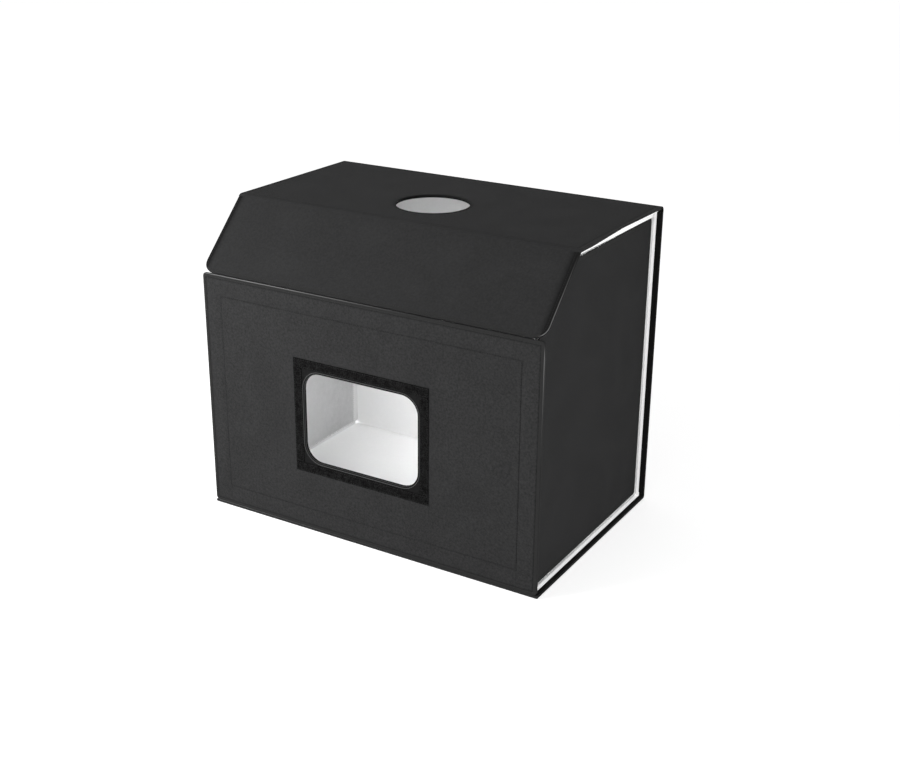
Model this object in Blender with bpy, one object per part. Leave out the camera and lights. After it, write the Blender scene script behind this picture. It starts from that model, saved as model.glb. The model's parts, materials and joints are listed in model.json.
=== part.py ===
"""A folding photo light tent: seven cloth-covered boards, sewn folds, a window, a port and a light.

Metres, +Z up. The origin is at the bottom centre, +X is to the right and the front faces -Y.
Each panel is drawn flat in the frame of its own fold, and the frames fold the flat net up.
"""
import math

import bmesh
import bpy
from mathutils import Vector

# Overall size, from the printed dimensions
width = 0.625
depth = 0.410
height = 0.525

# Cloth, board and the space between layers
cloth = 0.0006
seat_gap = 0.0003
board_thickness = 0.0032
panel_thickness = board_thickness + 2 * (cloth + seat_gap)
outer_leg = 0.006
inner_leg = 0.012
base_inner_leg = 0.0077
back_inner_leg = 0.0094
tape_thickness = 0.0009
tape_proud = tape_thickness + seat_gap
overrun = 0.004
weld_distance = 0.00001

# The planes of the four upright and level walls
front_y = -depth / 2 + tape_proud
back_y = depth / 2
lining_y = back_y - panel_thickness

# Folds: outer cloth radius, and the space before the next panel's end
base_fold_radius = 0.005
top_fold_radius = 0.009
flap_fold_radius = 0.010
fold_gap = 0.0006
square_bend = math.radians(90)

# Flap and front: the flap slopes down to the front panel's inner top edge
flap_run = 0.105
flap_bend = math.radians(45)
flap_length = flap_run / math.cos(flap_bend)
kink_y = flap_run - depth / 2
front_drop = 0.0041
front_height = height - flap_run * math.tan(flap_bend) - front_drop
panel_corner = 0.006
front_corner = 0.008
flap_corner = 0.020

# Window in the front panel, and its frame of loop tapes
window_x = -0.0065
window_z = 0.2065
window_width = 0.214
window_height = 0.154
window_corner = 0.030
window_leg = 0.006
frame_tape = 0.016
frame_side_overlap = 0.0020
frame_level_overlap = 0.0007
frame_width = window_width + 2 * (window_leg - frame_side_overlap + frame_tape)
frame_height = window_height + 2 * (window_leg - frame_level_overlap + frame_tape)

# Round port in the top panel
port_x = -0.007
port_y = 0.013
port_radius = 0.060
port_leg = 0.005

# Side panels: they stand inside the edges of the bottom, back and top panels
side_inset = 0.015
side_bottom_z = 0.0087
side_leg = 0.007
side_edge_to_axis = 0.0010
fold_in_clearance = 0.0008
closure_clearance = 0.0008
flap_clearance = 0.008
skirt_clearance = 0.0023

# Light skirts under the top panel's side edges
skirt_thickness = 0.0008
skirt_front_drop = 0.0097
skirt_back_drop = 0.0132
skirt_back_space = 0.006
skirt_front_space = 0.0015

# Hook and loop closure, backdrop tape, hinge tapes
closure_width = 0.016
closure_end_space = 0.030
backdrop_tape_width = 0.010
backdrop_tape_space = 0.030
hinge_tape_leg = 0.004
hinge_tape_end_space = 0.004

# Light on the flap
light_length = 0.372
light_width = 0.060
light_depth = 0.010
light_wall = 0.0012
light_lip = 0.0030
light_from_fold = 0.034
light_board_thickness = 0.0012
light_board_width = 0.048
diffuser_thickness = 0.0016
end_cap_thickness = 0.004
light_hook_width = 0.020
light_hook_end_space = 0.020
led_rows = 2
led_columns = 22
led_size = 0.0050
led_height = 0.0012
led_row_pitch = 0.022
led_end_space = 0.014
screw_radius = 0.0022
screw_height = 0.0012
screw_offset = 0.020
inlet_radius = 0.0050
inlet_bore = 0.0030
inlet_length = 0.006
inlet_bore_depth = 0.0045

# Steps on arcs
corner_steps = 6
window_steps = 8
port_steps = 48
round_steps = 24
fold_steps = 6

part = bpy.data.collections.new("light_tent_cube")
cutters = bpy.data.collections.new("cutters")


def clear_scene():
    for item in list(bpy.data.objects):
        bpy.data.objects.remove(item, do_unlink=True)
    bpy.context.scene.collection.children.link(part)
    bpy.context.scene.collection.children.link(cutters)


def material(name, colour, roughness, metallic=0.0):
    made = bpy.data.materials.new(name)
    made.use_nodes = True
    shader = made.node_tree.nodes["Principled BSDF"]
    shader.inputs["Base Color"].default_value = (*colour, 1)
    shader.inputs["Roughness"].default_value = roughness
    shader.inputs["Metallic"].default_value = metallic
    return made


# Folds and frames

class Fold:
    """Where a fold's axis lies: `run` along and `depth` below the outer faces that meet at it."""

    def __init__(self, radius, bend):
        self.radius = radius
        self.bend = bend
        self.tangent = radius * math.tan(bend / 2)
        self.setback = self.tangent + fold_gap
        self.run = self.tangent - radius * bend / 2
        self.depth = self.run / math.tan(bend / 2)
        self.near = self.setback - self.run


class Frame:
    """An empty on a fold's axis: local Y runs up the panel, local Z points out of the object."""

    def __init__(self, name, parent, location, rotation, fold=None):
        self.empty = bpy.data.objects.new(name, None)
        part.objects.link(self.empty)
        self.empty.parent = parent.empty if parent else None
        self.empty.location = location
        self.empty.rotation_euler = rotation
        self.fold = fold
        self.run = fold.run if fold else 0.0
        self.outer = fold.depth if fold else 0.0
        self.sides = parent.sides if parent else ("left", "right")


def fold_frame(name, parent, reach, fold):
    """The frame of a panel that folds at `reach` along the outer face of its parent's panel."""
    along = reach - parent.run - fold.run
    return Frame(name, parent, (0, along, parent.outer - fold.depth), (-fold.bend, 0, 0), fold)


# Outlines

def rounded(corners, steps=corner_steps):
    """Points round a polygon whose corners are (x, y, radius), anticlockwise."""
    points = []
    for index, (x, y, radius) in enumerate(corners):
        here = Vector((x, y))
        back = (Vector(corners[index - 1][:2]) - here).normalized()
        ahead = (Vector(corners[(index + 1) % len(corners)][:2]) - here).normalized()
        if radius <= 0:
            points.append(here)
            continue
        half = back.angle(ahead) / 2
        centre = here + (back + ahead).normalized() * (radius / math.sin(half))
        start = here + back * (radius / math.tan(half)) - centre
        turn = math.pi - 2 * half
        for step in range(steps + 1):
            angle = turn * step / steps
            turned = Vector((start.x * math.cos(angle) - start.y * math.sin(angle),
                             start.x * math.sin(angle) + start.y * math.cos(angle)))
            points.append(centre + turned)
    return points


def rectangle(left, right, low, high, radius=0.0):
    return [(left, low, radius), (right, low, radius), (right, high, radius), (left, high, radius)]


def inset(corners, distances):
    """The polygon moved in by distances[i] at the edge from corner i to the next one."""
    lines = []
    for index, corner in enumerate(corners):
        start = Vector(corner[:2])
        along = (Vector(corners[(index + 1) % len(corners)][:2]) - start).normalized()
        inward = Vector((-along.y, along.x))
        lines.append((start + inward * distances[index], along))
    moved = []
    for index, corner in enumerate(corners):
        (p, a), (q, b) = lines[index - 1], lines[index]
        cross = a.x * b.y - a.y * b.x
        offset = q - p
        meet = p + a * ((offset.x * b.y - offset.y * b.x) / cross)
        radius = corner[2] - max(distances[index - 1], distances[index])
        moved.append((meet.x, meet.y, max(radius, 0.0) if corner[2] else 0.0))
    return moved


def circle(x, y, radius, steps=port_steps):
    turns = (2 * math.pi * step / steps for step in range(steps))
    return [Vector((x + radius * math.cos(turn), y + radius * math.sin(turn))) for turn in turns]


# Solids

def drawn(name, outlines, thickness, where, collection=part):
    """A flat curve filled on both sides, with holes where one outline lies inside another."""
    data = bpy.data.curves.new(name, "CURVE")
    data.dimensions = "2D"
    data.fill_mode = "BOTH"
    data.extrude = thickness / 2
    for outline in outlines:
        spline = data.splines.new("POLY")
        spline.points.add(len(outline) - 1)
        for point, place in zip(spline.points, outline):
            point.co = (place.x, place.y, 0, 1)
        spline.use_cyclic_u = True
    made = bpy.data.objects.new(name, data)
    collection.objects.link(made)
    made.parent = where["frame"].empty
    made.location = where.get("location", (0, 0, 0))
    made.rotation_euler = where.get("rotation", (0, 0, 0))
    return made


def layer(name, frame, outlines, low, high, finish):
    """A sheet in a frame's own plane, from local z = low to high."""
    where = {"frame": frame, "location": (0, 0, (low + high) / 2)}
    made = drawn(name, outlines, high - low, where)
    made.data.materials.append(finish)
    return made


def profile_along_x(name, frame, outlines, x_from, x_to, finish):
    """A section drawn in the frame's YZ plane and drawn out along X."""
    where = {"frame": frame, "location": ((x_from + x_to) / 2, 0, 0),
             "rotation": (math.radians(90), 0, math.radians(90))}
    made = drawn(name, outlines, x_to - x_from, where)
    made.data.materials.append(finish)
    return made


def placed(name, mesh, frame, location, rotation=(0, 0, 0)):
    made = bpy.data.objects.new(name, mesh)
    part.objects.link(made)
    made.parent = frame.empty
    made.location = location
    made.rotation_euler = rotation
    return made


def box(name, frame, across, along, through, finish=None):
    """A box between two values on each of the frame's axes."""
    low = Vector((min(across), min(along), min(through)))
    high = Vector((max(across), max(along), max(through)))
    mesh = bpy.data.meshes.new(name)
    work = bmesh.new()
    bmesh.ops.create_cube(work, size=1)
    bmesh.ops.scale(work, vec=high - low, verts=work.verts)
    work.to_mesh(mesh)
    work.free()
    if finish:
        mesh.materials.append(finish)
    return placed(name, mesh, frame, (low + high) / 2)


def cylinder_on_x(name, frame, place, radius, length, finish=None):
    """A round solid on the frame's X axis, with its middle at place."""
    mesh = bpy.data.meshes.new(name)
    work = bmesh.new()
    bmesh.ops.create_cone(work, cap_ends=True, segments=round_steps, radius1=radius,
                          radius2=radius, depth=length)
    work.to_mesh(mesh)
    work.free()
    if finish:
        mesh.materials.append(finish)
    return placed(name, mesh, frame, place, (0, math.radians(90), 0))


def meshed(curve):
    """A curve object made a mesh object with its caps welded, in the same place."""
    bpy.context.view_layer.update()
    depsgraph = bpy.context.evaluated_depsgraph_get()
    mesh = bpy.data.meshes.new_from_object(curve.evaluated_get(depsgraph))
    work = bmesh.new()
    work.from_mesh(mesh)
    bmesh.ops.remove_doubles(work, verts=work.verts, dist=weld_distance)
    work.to_mesh(mesh)
    work.free()
    name, collection = curve.name, curve.users_collection[0]
    position, parent = curve.matrix_world.copy(), curve.parent
    bpy.data.objects.remove(curve, do_unlink=True)
    made = bpy.data.objects.new(name, mesh)
    collection.objects.link(made)
    made.parent = parent
    made.matrix_world = position
    return made


def combine(body, tool, operation="DIFFERENCE"):
    boolean = body.modifiers.new(tool.name, "BOOLEAN")
    boolean.operation = operation
    boolean.solver = "EXACT"
    boolean.object = tool


def hidden(tool):
    """Keeps a tool out of the part, as a wire guide."""
    if tool.name in part.objects:
        part.objects.unlink(tool)
        cutters.objects.link(tool)
    tool.hide_render = True
    tool.display_type = "WIRE"
    return tool


def cutter(name, frame, outlines, low, high):
    where = {"frame": frame, "location": (0, 0, (low + high) / 2)}
    return hidden(meshed(drawn(name, outlines, high - low, where, cutters)))


def band(frame, facing, shallow, deep):
    """Local z range of a layer that lies between two depths below the outer face."""
    ends = (frame.outer - facing * shallow, frame.outer - facing * deep)
    return min(ends), max(ends)


def edge_binding(name, frame, corners, bound, legs, facing, finish):
    """U-section cloth round the bound edges: a slab less the board's slot and less both skins."""
    low, high = band(frame, facing, 0, panel_thickness)
    body = meshed(layer(name, frame, [rounded(corners)], low, high, finish))
    slot = inset(corners, [cloth if edge else -overrun for edge in bound])
    low, high = band(frame, facing, cloth, panel_thickness - cloth)
    combine(body, cutter(name + "_slot", frame, [rounded(slot)], low, high))
    middle = panel_thickness / 2
    for skin, leg, ends in (("outer", legs[0], (-overrun, middle)),
                            ("inner", legs[1], (middle, panel_thickness + overrun))):
        open_part = inset(corners, [leg if edge else -overrun for edge in bound])
        low, high = band(frame, facing, *ends)
        combine(body, cutter(name + "_" + skin, frame, [rounded(open_part)], low, high))
    return body


def side_bindings(name, frame, corners, legs, finish):
    """Straight U-section binding on a folded panel's two free side edges."""
    low, high = band(frame, 1, 0, panel_thickness)
    slot_low, slot_high = band(frame, 1, cloth, panel_thickness - cloth)
    start, end = corners[0][1], corners[2][1]
    past_ends = (start - overrun, end + overrun)
    for side, edge in zip((-1, 1), frame.sides):
        outer = side * width / 2
        label = name + "_" + edge + "_binding"
        past_leg = outer - side * (legs[1] + overrun)
        body = box(label, frame, (outer, outer - side * legs[1]), (start, end), (low, high), finish)
        combine(body, hidden(box(label + "_slot", frame, (outer - side * cloth, past_leg), past_ends,
                                 (slot_low, slot_high))))
        combine(body, hidden(box(label + "_outer", frame, (outer - side * legs[0], past_leg), past_ends,
                                 ((low + high) / 2, high + overrun))))


def hole_binding(name, frame, grown, leg, facing, finish):
    """U-section cloth round a hole; grown(d) gives the hole's outline let out by d."""
    low, high = band(frame, facing, 0, panel_thickness)
    body = meshed(layer(name, frame, [grown(leg), grown(0)], low, high, finish))
    low, high = band(frame, facing, cloth, panel_thickness - cloth)
    ring = [grown(leg + overrun), grown(cloth)]
    combine(body, cutter(name + "_slot", frame, ring, low, high))
    return body


def panel(name, frame, corners, bound, finishes, legs, facing=1, hole=None, hole_leg=0.0):
    """Board, cover, lining and edge binding of one panel, all flush at the two faces."""
    skins = []
    for leg in (legs[0] + seat_gap, cloth + seat_gap, legs[1] + seat_gap):
        skins.append([rounded(inset(corners, [leg if edge else 0.0 for edge in bound]))])
    if hole:
        for outlines, leg in zip(skins, (hole_leg + seat_gap, cloth + seat_gap, hole_leg + seat_gap)):
            outlines.append(hole(leg))
    low, high = band(frame, facing, 0, cloth)
    layer(name + "_cover", frame, skins[0], low, high, finishes["cover"])
    low, high = band(frame, facing, cloth + seat_gap, cloth + seat_gap + board_thickness)
    layer(name + "_board", frame, skins[1], low, high, finishes["board"])
    low, high = band(frame, facing, panel_thickness - cloth, panel_thickness)
    layer(name + "_lining", frame, skins[2], low, high, finishes["lining"])
    if sum(bound) == 2:
        side_bindings(name, frame, corners, legs, finishes["binding"])
    else:
        edge_binding(name + "_binding", frame, corners, bound, legs, facing, finishes["binding"])


def fold_web(name, frame, finish):
    """The outer cloth round a fold, as an arc between the two panels' tangent points."""
    fold = frame.fold
    y, z = fold.tangent - fold.run, fold.depth - fold.radius
    turns = [math.pi / 2 + fold.bend * step / fold_steps for step in range(fold_steps + 1)]
    outer = [Vector((y + fold.radius * math.cos(t), z + fold.radius * math.sin(t))) for t in turns]
    small = fold.radius - cloth
    inner = [Vector((y + small * math.cos(t), z + small * math.sin(t))) for t in reversed(turns)]
    profile_along_x(name, frame, [outer + inner], -width / 2, width / 2, finish)


# Panels

def folded_corners(frame, reach, far_setback=0.0, far_radius=0.0, near=None, near_radius=0.0):
    """Corners of a panel as wide as the object, from its fold to `reach` along its outer face."""
    low = frame.fold.near if near is None else near
    high = reach - frame.run - far_setback
    half = width / 2
    return [(-half, low, near_radius), (half, low, near_radius),
            (half, high, far_radius), (-half, high, far_radius)]


def window_outline(frame):
    """The window's clear outline let out by a distance, in the front panel's frame."""
    y = window_z - frame.run

    def grown(distance):
        across, up = window_width / 2 + distance, window_height / 2 + distance
        corners = rectangle(window_x - across, window_x + across, y - up, y + up,
                            window_corner + distance)
        return rounded(corners, window_steps)
    return grown


def port_outline(frame):
    y = back_y - port_y - frame.run

    def grown(distance):
        return circle(-port_x, y, port_radius + distance)
    return grown


def side_profile(axis_y, frame):
    """Corners of a side panel: x forward from its hinge axis, y up from the back fold's axis."""
    front_edge_y = front_y + panel_thickness + 2 * tape_proud + closure_clearance
    half_slope = flap_bend / 2
    under_top = height - panel_thickness
    kink_top = under_top - skirt_front_drop - skirt_clearance
    back_top = under_top - skirt_back_drop - skirt_clearance
    drop = (panel_thickness + flap_clearance) / math.cos(flap_bend)
    slope_z = height - (kink_y - front_edge_y) * math.tan(flap_bend) - drop
    kink_run = (height - drop - kink_top) / math.tan(flap_bend) + flap_clearance * math.tan(half_slope)
    lift = frame.run
    far = axis_y - front_edge_y
    kink = axis_y - kink_y + kink_run
    slope_at_kink = slope_z + (far - kink) * math.tan(flap_bend)
    return [(side_edge_to_axis, side_bottom_z - lift, panel_corner),
            (far, side_bottom_z - lift, panel_corner),
            (far, slope_z - lift, panel_corner),
            (kink, min(kink_top, slope_at_kink) - lift, panel_corner),
            (side_edge_to_axis, back_top - lift, panel_corner)]


def side_axis(turn_in_order):
    """Hinge axis of the side panel that folds in first (0) or over it (1)."""
    first = lining_y - tape_proud - fold_in_clearance - panel_thickness / 2
    return first - turn_in_order * (panel_thickness + fold_in_clearance)


def side_frame(name, back, side, turn_in_order):
    """Side is -1 on the left and 1 on the right; local X runs forward and local Z to the left."""
    x = side * (width / 2 - side_inset - panel_thickness / 2)
    z = side_axis(turn_in_order) - (back_y - back.outer)
    made = Frame(name, back, (-x, 0, z), (0, math.radians(90), 0))
    made.outer = -side * panel_thickness / 2
    return made


def side_panel(name, back, side, turn_in_order, finishes):
    frame = side_frame(name + "_hinge", back, side, turn_in_order)
    corners = side_profile(side_axis(turn_in_order), back)
    panel(name, frame, corners, [True] * len(corners), finishes, (side_leg, side_leg), -side)
    far, low, high = corners[1][0], corners[1][1], corners[2][1]
    box(name + "_loop_tape", frame, (far + seat_gap, far + tape_proud),
        (low + closure_end_space, high - closure_end_space),
        (-panel_thickness / 2, panel_thickness / 2), finishes["tape"])


def side_hinge_tape(name, back, side, turn_in_order, finish):
    """White tape sewn on the back lining, turned out to the side panel's rear edge."""
    x = -side * (width / 2 - side_inset - panel_thickness / 2)
    seat = back.outer - panel_thickness - seat_gap
    reach = side_axis(turn_in_order) - (back_y - back.outer) - (side_edge_to_axis - seat_gap)
    out = -side
    near, web, far = x - out * cloth / 2, x + out * cloth / 2, x + out * hinge_tape_leg
    section = [(near, reach), (near, seat), (far, seat), (far, seat - cloth), (web, seat - cloth),
               (web, reach)]
    points = [Vector(point) for point in section]
    low = side_bottom_z - back.run + hinge_tape_end_space
    high = height - panel_thickness - skirt_back_drop - back.run - 2 * hinge_tape_end_space
    where = {"frame": back, "location": (0, (low + high) / 2, 0), "rotation": (math.radians(90), 0, 0)}
    drawn(name, [points], high - low, where).data.materials.append(finish)


def skirt(name, top, side, finish):
    """White cloth hanging from the top lining beside the binding, deeper towards the back."""
    hang = top.outer - panel_thickness - seat_gap
    start = skirt_back_space + panel_thickness - top.run
    end = back_y - kink_y - skirt_front_space - top.run
    section = [(start, hang), (start, top.outer - panel_thickness - skirt_back_drop),
               (end, top.outer - panel_thickness - skirt_front_drop), (end, hang)]
    outer = width / 2 - inner_leg - seat_gap
    left, right = sorted((-side * outer, -side * (outer - skirt_thickness)))
    profile_along_x(name, top, [[Vector(point) for point in section]], left, right, finish)


# Window frame, closures and backdrop tape

def window_frame(front, finish):
    """Four strips of loop tape round the window, the level ones full width."""
    y = window_z - front.run
    left, right = window_x - frame_width / 2, window_x + frame_width / 2
    low, high = y - frame_height / 2, y + frame_height / 2
    inner_low, inner_high = low + frame_tape + seat_gap, high - frame_tape - seat_gap
    seat = front.outer + seat_gap
    for edge, strip in (("top", (left, right, high - frame_tape, high)),
                        ("bottom", (left, right, low, low + frame_tape)),
                        ("left", (left, left + frame_tape, inner_low, inner_high)),
                        ("right", (right - frame_tape, right, inner_low, inner_high))):
        box("window_tape_" + edge, front, strip[:2], strip[2:], (seat, seat + tape_thickness), finish)


def front_hook_tapes(front, finish):
    """Hook tapes on the front lining, where the side panels' front edges close against it."""
    x = width / 2 - side_inset - panel_thickness / 2
    low = side_bottom_z - front.run + closure_end_space
    high = front_height - front.run - 2 * closure_end_space
    top = front.outer - panel_thickness - seat_gap
    for name, centre in (("left", -x), ("right", x)):
        box("front_hook_tape_" + name, front, (centre - closure_width / 2, centre + closure_width / 2),
            (low, high), (top - tape_thickness, top), finish)


def backdrop_tape(back, finish):
    top_end = height - panel_thickness - back.run - top_fold_radius
    seat = back.outer - panel_thickness - seat_gap
    across = width / 2 - backdrop_tape_space
    box("backdrop_loop_tape", back, (-across, across), (top_end - backdrop_tape_width, top_end),
        (seat - tape_thickness, seat), finish)


# Light on the flap's lining

def light_level(flap):
    """Local z of the channel's back, below the hook tapes on the flap's lining."""
    return flap.outer - panel_thickness - tape_proud - seat_gap


def light_hook_tape(flap, finish):
    """Strip of hook tape that holds the light on the lining."""
    middle = light_from_fold + light_width / 2 - flap.run
    top = flap.outer - panel_thickness - seat_gap
    half = light_length / 2 - light_hook_end_space
    box("light_hook_tape", flap, (-half, half),
        (middle - light_hook_width / 2, middle + light_hook_width / 2), (top - tape_thickness, top), finish)


def light_channel(flap, finish):
    """Extruded aluminium channel: open downwards, with lips that hold the diffuser."""
    top = light_level(flap)
    bottom = top - light_depth
    near = light_from_fold - flap.run
    far = near + light_width
    wall, lip = light_wall, light_lip
    half = [(near, top), (near, bottom), (near + lip, bottom), (near + lip, bottom + wall),
            (near + wall, bottom + wall), (near + wall, top - wall)]
    other = [(near + far - y, z) for y, z in reversed(half)]
    outline = [Vector(point) for point in half + other]
    profile_along_x("light_housing", flap, [outline], -light_length / 2, light_length / 2, finish)


def light_board(flap, finish):
    """The board on the channel's floor with its rows of soldered LED chips."""
    middle = light_from_fold + light_width / 2 - flap.run
    top = light_level(flap) - light_wall - seat_gap
    half = light_length / 2 - end_cap_thickness
    bottom = top - light_board_thickness
    body = box("light_board", flap, (-half, half),
               (middle - light_board_width / 2, middle + light_board_width / 2), (bottom, top), finish)
    led_pitch = 2 * (half - led_end_space) / (led_columns - 1)
    chips = []
    for row in range(led_rows):
        y = middle + (row - (led_rows - 1) / 2) * led_row_pitch
        for column in range(led_columns):
            x = (column - (led_columns - 1) / 2) * led_pitch
            reach = led_size / 2
            chips.append(rounded(rectangle(x - reach, x + reach, y - reach, y + reach)))
    combine(body, cutter("light_board_chips", flap, chips, bottom - led_height, (bottom + top) / 2), "UNION")


def light_diffuser(flap, finish):
    near = light_from_fold - flap.run + light_wall + seat_gap
    far = near + light_width - 2 * (light_wall + seat_gap)
    low = light_level(flap) - light_depth + light_wall + seat_gap
    half = light_length / 2 - seat_gap
    box("light_diffuser", flap, (-half, half), (near, far), (low, low + diffuser_thickness), finish)


def light_end_caps(flap, finish):
    """A moulded cap over each end of the channel."""
    near = light_from_fold - flap.run
    top = light_level(flap)
    section = rounded(rectangle(near, near + light_width, top - light_depth, top, light_wall))
    for side, edge in zip((-1, 1), flap.sides):
        inner = side * (light_length / 2 + seat_gap)
        ends = sorted((inner, inner + side * end_cap_thickness))
        profile_along_x("light_end_cap_" + edge, flap, [section], ends[0], ends[1], finish)


def light_screws(flap, finish):
    """One pan-head screw in each end cap."""
    middle = light_from_fold + light_width / 2 - flap.run
    z = light_level(flap) - light_depth / 2
    reach = light_length / 2 + end_cap_thickness + 2 * seat_gap
    for side, edge in zip((-1, 1), flap.sides):
        place = (side * (reach + screw_height / 2), middle + screw_offset, z)
        cylinder_on_x("light_screw_" + edge, flap, place, screw_radius, screw_height, finish)


def light_inlet(flap, finish):
    """Round power socket on the right end cap, with its bore."""
    middle = light_from_fold + light_width / 2 - flap.run
    z = light_level(flap) - light_depth / 2
    face = -(light_length / 2 + end_cap_thickness + 2 * seat_gap)
    middle_x = face - inlet_length / 2
    radius = min(inlet_radius, light_depth / 2 - seat_gap)
    body = cylinder_on_x("light_inlet", flap, (middle_x, middle, z), radius, inlet_length, finish)
    mouth = (face - inlet_length, middle, z)
    bore = cylinder_on_x("light_inlet_bore", flap, mouth, inlet_bore, 2 * inlet_bore_depth)
    combine(body, hidden(bore))


def finishes():
    black = (0.045, 0.045, 0.045)
    return {
        "cover": material("black_cloth", black, 0.85),
        "binding": material("black_binding", (0.018, 0.018, 0.018), 0.8),
        "board": material("fibre_board", (0.32, 0.26, 0.19), 0.9),
        "white": material("white_lining", (0.85, 0.85, 0.85), 0.6),
        "silver": material("silver_lining", (0.55, 0.55, 0.56), 0.5),
        "tape": material("loop_tape", (0.012, 0.012, 0.012), 0.95),
        "aluminium": material("aluminium", (0.75, 0.75, 0.76), 0.35, 1.0),
        "circuit": material("circuit_board", (0.8, 0.8, 0.78), 0.5),
        "diffuser": material("diffuser", (0.95, 0.95, 0.95), 0.5),
        "plastic": material("black_plastic", (0.03, 0.03, 0.03), 0.5),
        "steel": material("screw_steel", (0.6, 0.6, 0.6), 0.3, 1.0),
    }


def build():
    clear_scene()
    look = finishes()
    white = dict(look, lining=look["white"])
    silver = dict(look, lining=look["silver"])
    base_fold = Fold(base_fold_radius, square_bend)
    top_fold = Fold(top_fold_radius, square_bend)
    flap_fold = Fold(flap_fold_radius, flap_bend)

    base = Frame("base_frame", None, (0, 0, 0), (math.pi, 0, 0))
    front = fold_frame("front_hinge", base, -front_y, base_fold)
    back = Frame("back_hinge", base, (0, base_fold.run - back_y, -base_fold.depth),
                 (-square_bend, 0, math.pi), base_fold)
    back.sides = ("right", "left")
    top = fold_frame("top_hinge", back, height, top_fold)
    flap = fold_frame("flap_hinge", top, back_y - kink_y, flap_fold)

    half = width / 2
    base_corners = rectangle(-half, half, base_fold.setback - back_y, -front_y - base_fold.setback)
    legs = (outer_leg, inner_leg)
    panel("base", base, base_corners, (False, True, False, True), white, (outer_leg, base_inner_leg))
    front_corners = folded_corners(front, front_height, 0, panel_corner, near_radius=front_corner)
    panel("front", front, front_corners, (True, True, True, True), white, legs,
          hole=window_outline(front), hole_leg=window_leg)
    back_corners = folded_corners(back, height, top_fold.setback)
    panel("back", back, back_corners, (False, True, False, True), white, (outer_leg, back_inner_leg))
    top_corners = folded_corners(top, back_y - kink_y, flap_fold.setback)
    panel("top", top, top_corners, (False, True, False, True), white, legs,
          hole=port_outline(top), hole_leg=port_leg)
    flap_corners = folded_corners(flap, flap_length, 0, flap_corner)
    panel("flap", flap, flap_corners, (False, True, True, True), white, legs)
    side_panel("left_side", back, -1, 1, silver)
    side_panel("right_side", back, 1, 0, silver)

    fold_web("front_fold", front, look["cover"])
    fold_web("back_fold", back, look["cover"])
    fold_web("top_fold", top, look["cover"])
    fold_web("flap_fold", flap, look["cover"])
    side_hinge_tape("left_hinge_tape", back, -1, 1, look["white"])
    side_hinge_tape("right_hinge_tape", back, 1, 0, look["white"])

    hole_binding("window_binding", front, window_outline(front), window_leg, 1, look["binding"])
    window_frame(front, look["tape"])
    front_hook_tapes(front, look["tape"])
    hole_binding("port_binding", top, port_outline(top), port_leg, 1, look["binding"])
    skirt("left_skirt", top, -1, look["white"])
    skirt("right_skirt", top, 1, look["white"])
    backdrop_tape(back, look["tape"])

    light_hook_tape(flap, look["tape"])
    light_channel(flap, look["aluminium"])
    light_board(flap, look["circuit"])
    light_diffuser(flap, look["diffuser"])
    light_end_caps(flap, look["plastic"])
    light_screws(flap, look["steel"])
    light_inlet(flap, look["plastic"])


build()
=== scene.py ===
import json
from math import copysign, cos, pi, radians, sin, tan

import bmesh
import bpy
from mathutils import Matrix, Vector, noise

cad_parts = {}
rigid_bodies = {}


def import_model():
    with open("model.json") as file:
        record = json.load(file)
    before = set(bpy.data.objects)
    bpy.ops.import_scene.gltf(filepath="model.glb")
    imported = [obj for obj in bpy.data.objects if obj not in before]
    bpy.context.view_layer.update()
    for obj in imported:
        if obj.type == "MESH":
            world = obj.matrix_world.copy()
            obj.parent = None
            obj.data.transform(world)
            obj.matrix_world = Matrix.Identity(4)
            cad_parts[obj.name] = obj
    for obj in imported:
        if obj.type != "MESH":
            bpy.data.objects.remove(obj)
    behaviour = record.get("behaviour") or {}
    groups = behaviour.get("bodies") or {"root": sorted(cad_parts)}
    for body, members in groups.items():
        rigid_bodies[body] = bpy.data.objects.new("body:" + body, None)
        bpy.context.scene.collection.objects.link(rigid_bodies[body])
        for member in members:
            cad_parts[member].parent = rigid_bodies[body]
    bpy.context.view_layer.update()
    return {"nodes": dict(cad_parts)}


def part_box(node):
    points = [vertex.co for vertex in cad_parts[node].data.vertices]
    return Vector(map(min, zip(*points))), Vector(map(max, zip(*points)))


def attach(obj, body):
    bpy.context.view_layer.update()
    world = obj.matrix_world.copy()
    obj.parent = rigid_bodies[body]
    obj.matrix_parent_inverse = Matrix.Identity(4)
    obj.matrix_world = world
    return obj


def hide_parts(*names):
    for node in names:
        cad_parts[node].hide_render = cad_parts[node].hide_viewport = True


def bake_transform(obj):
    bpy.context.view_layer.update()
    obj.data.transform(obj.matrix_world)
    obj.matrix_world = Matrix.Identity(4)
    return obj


for item in list(bpy.data.objects):
    bpy.data.objects.remove(item, do_unlink=True)

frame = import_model()
cadNodes = frame["nodes"]
print("frame loaded,", len(cadNodes), "nodes")

sides = ("left", "right")
panels = ("front", "back", "top", "base", "flap", "left_side", "right_side")
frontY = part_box("front_cover")[0].y
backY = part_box("back_cover")[1].y
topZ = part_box("top_cover")[1].z
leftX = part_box("left_side_cover")[0].x
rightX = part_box("right_side_cover")[1].x
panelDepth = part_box("front_binding")[1].y - frontY
kinkY = -0.1  # where the top turns down into the flap
flapSlope = 45
flapTurn = radians(flapSlope)
frontSeam = 0.0295  # from the front cover's edge to the line sewn round it
weldGap = 0.00001  # points closer than this become one
faceOn = 0.9  # least cosine at which a face counts as facing a way
upSlope = (0, cos(flapTurn), sin(flapTurn))
offSlope = (0, -sin(flapTurn), cos(flapTurn))


def planeMatrix(origin, u, v, n):
    turned = Matrix((u, v, n)).transposed().to_4x4()
    turned.translation = Vector(origin)
    return turned


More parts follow.
